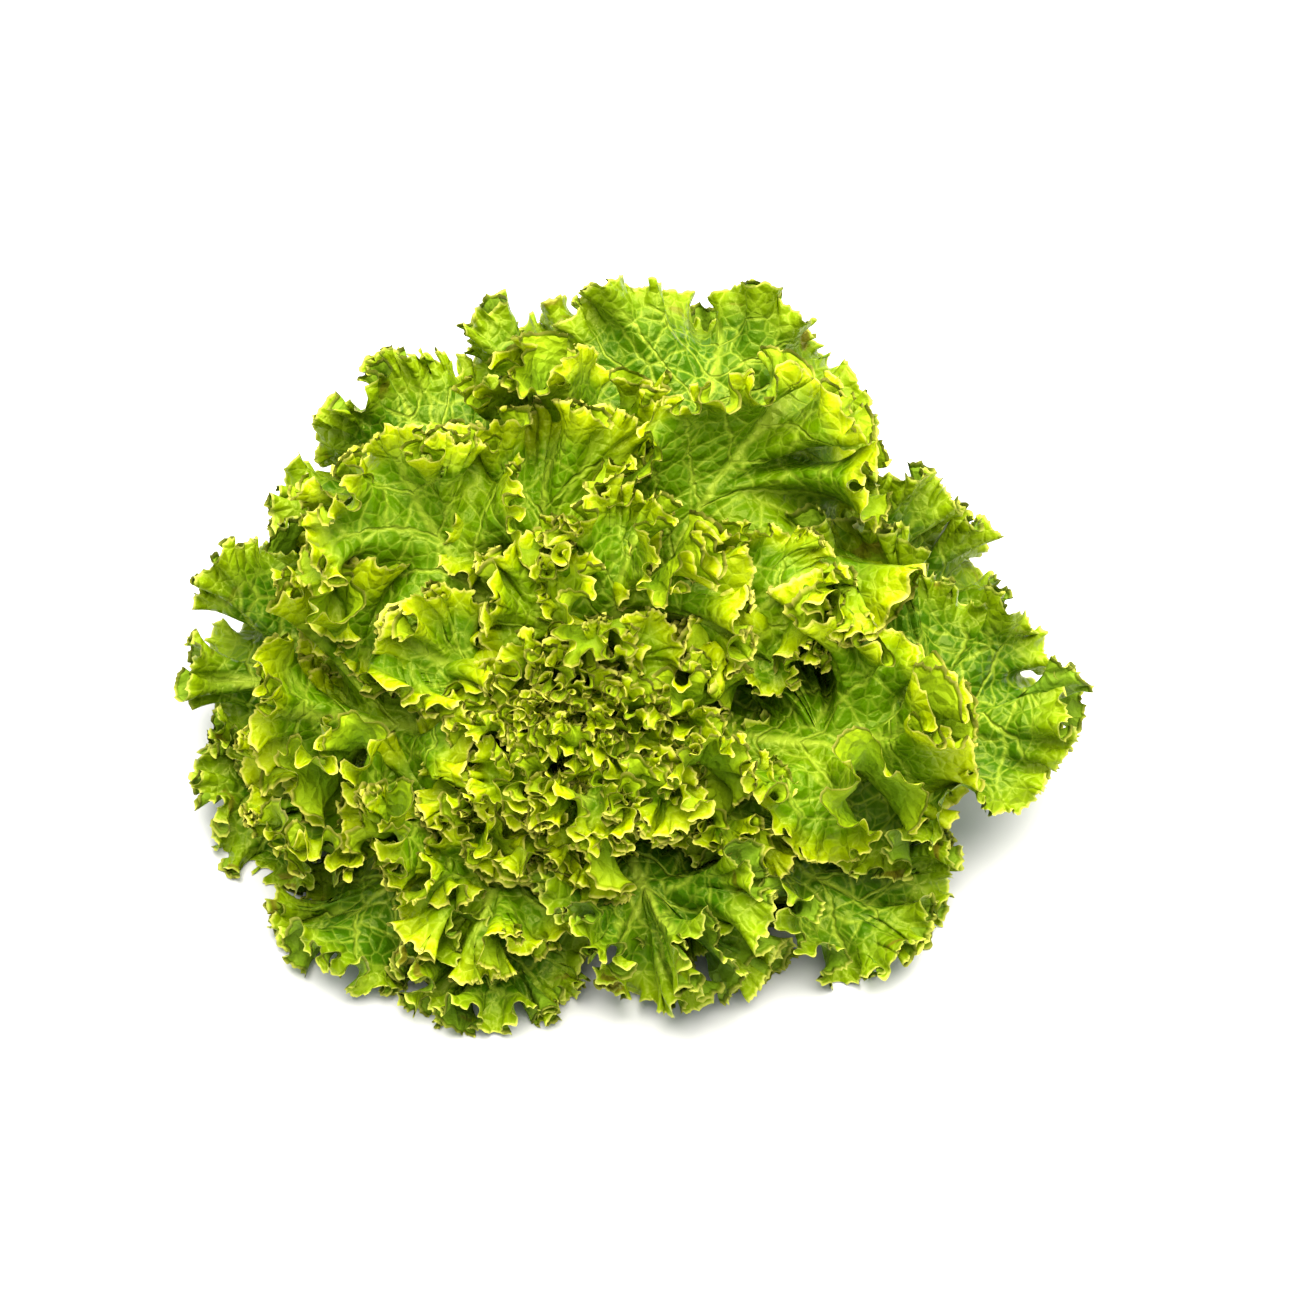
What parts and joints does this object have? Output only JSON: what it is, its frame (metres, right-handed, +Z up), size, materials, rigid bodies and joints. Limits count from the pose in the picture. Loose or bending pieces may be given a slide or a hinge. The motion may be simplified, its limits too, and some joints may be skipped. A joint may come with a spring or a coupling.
{
  "type": "head of green leaf lettuce",
  "caption": "Loose head of frilly green leaf lettuce: a rosette of curled leaves round a short cut stem, leaning forward as it rests on a table.",
  "frame": {"origin": "centre of the stem's cut face, on the table", "axes": "+Z up, +X to the right of the head across its widest side, -Y the way the heart leans, towards the viewer"},
  "size_m": [0.3193, 0.2745, 0.1477],
  "materials": {
    "stem_flesh": "pale, moist cut stem, faintly ringed",
    "heart_leaf": "young leaf, yellow-green, waxy, thin enough to glow",
    "middle_leaf": "mid-green leaf with pale veins and a bright yellow-green frilled rim",
    "outer_leaf": "mature leaf, deeper green, with pale veins and a lighter rim"
  },
  "bodies": {
    "root": {"stem_core": "stem_flesh", "heart_bud": "heart_leaf", "heart_leaf_01": "heart_leaf", "heart_leaf_02": "heart_leaf", "heart_leaf_03": "heart_leaf", "heart_leaf_04": "heart_leaf", "heart_leaf_05": "heart_leaf", "heart_leaf_06": "heart_leaf", "heart_leaf_07": "heart_leaf", "heart_leaf_08": "heart_leaf", "heart_leaf_09": "heart_leaf", "heart_leaf_10": "heart_leaf", "heart_leaf_11": "heart_leaf", "heart_leaf_12": "heart_leaf", "heart_leaf_13": "heart_leaf", "heart_leaf_14": "heart_leaf", "middle_leaf_01": "middle_leaf", "middle_leaf_02": "middle_leaf", "middle_leaf_03": "middle_leaf", "middle_leaf_04": "middle_leaf", "middle_leaf_05": "middle_leaf", "middle_leaf_06": "middle_leaf", "middle_leaf_07": "middle_leaf", "middle_leaf_08": "middle_leaf", "middle_leaf_09": "middle_leaf", "middle_leaf_10": "middle_leaf", "middle_leaf_11": "middle_leaf", "middle_leaf_12": "middle_leaf", "middle_leaf_13": "middle_leaf", "middle_leaf_14": "middle_leaf", "middle_leaf_15": "middle_leaf", "middle_leaf_16": "middle_leaf", "middle_leaf_17": "middle_leaf", "middle_leaf_18": "middle_leaf", "middle_leaf_19": "middle_leaf", "middle_leaf_20": "middle_leaf", "outer_leaf_01": "outer_leaf", "outer_leaf_02": "outer_leaf", "outer_leaf_03": "outer_leaf", "outer_leaf_04": "outer_leaf", "outer_leaf_05": "outer_leaf", "outer_leaf_06": "outer_leaf", "outer_leaf_07": "outer_leaf", "outer_leaf_08": "outer_leaf", "outer_leaf_09": "outer_leaf", "outer_leaf_10": "outer_leaf", "outer_leaf_11": "outer_leaf", "outer_leaf_12": "outer_leaf"}
  },
  "joints": []
}
